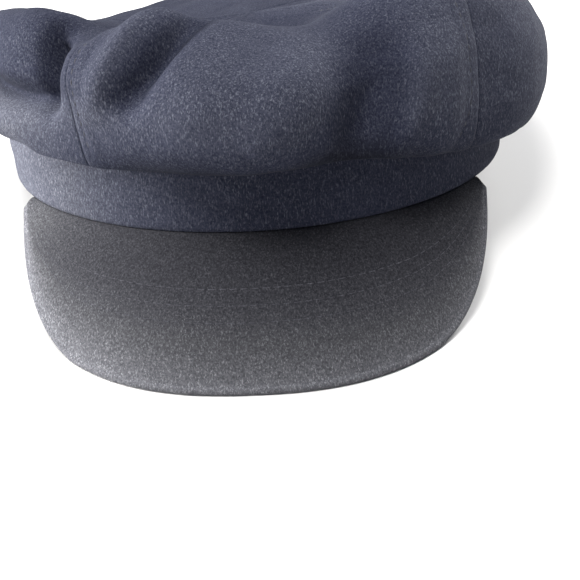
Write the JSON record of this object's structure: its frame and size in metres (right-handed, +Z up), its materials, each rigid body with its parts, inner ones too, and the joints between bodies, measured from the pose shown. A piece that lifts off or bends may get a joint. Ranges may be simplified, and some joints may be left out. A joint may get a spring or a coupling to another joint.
{
  "type": "french work cap",
  "caption": "Soft wool work cap with a full, folded crown sewn in panels to a low band, and a stiff curved peak that slopes down to the table",
  "frame": {"origin": "middle of the cap's bounding box, on the table it rests on", "axes": "+X to the right seen from the peak, +Y from the peak to the back of the cap, +Z up from the table"},
  "size_m": [0.2092, 0.2456, 0.1026],
  "materials": {
    "wool_cloth": "soft napped wool cloth, charcoal with a blue cast and pale flecks",
    "wool_peak": "the same wool cloth drawn tight over a stiff peak"
  },
  "bodies": {
    "root": {"band": "wool_cloth", "peak": "wool_peak", "crown_front": "wool_cloth", "crown_right": "wool_cloth", "crown_back": "wool_cloth", "crown_left": "wool_cloth"}
  },
  "joints": []
}
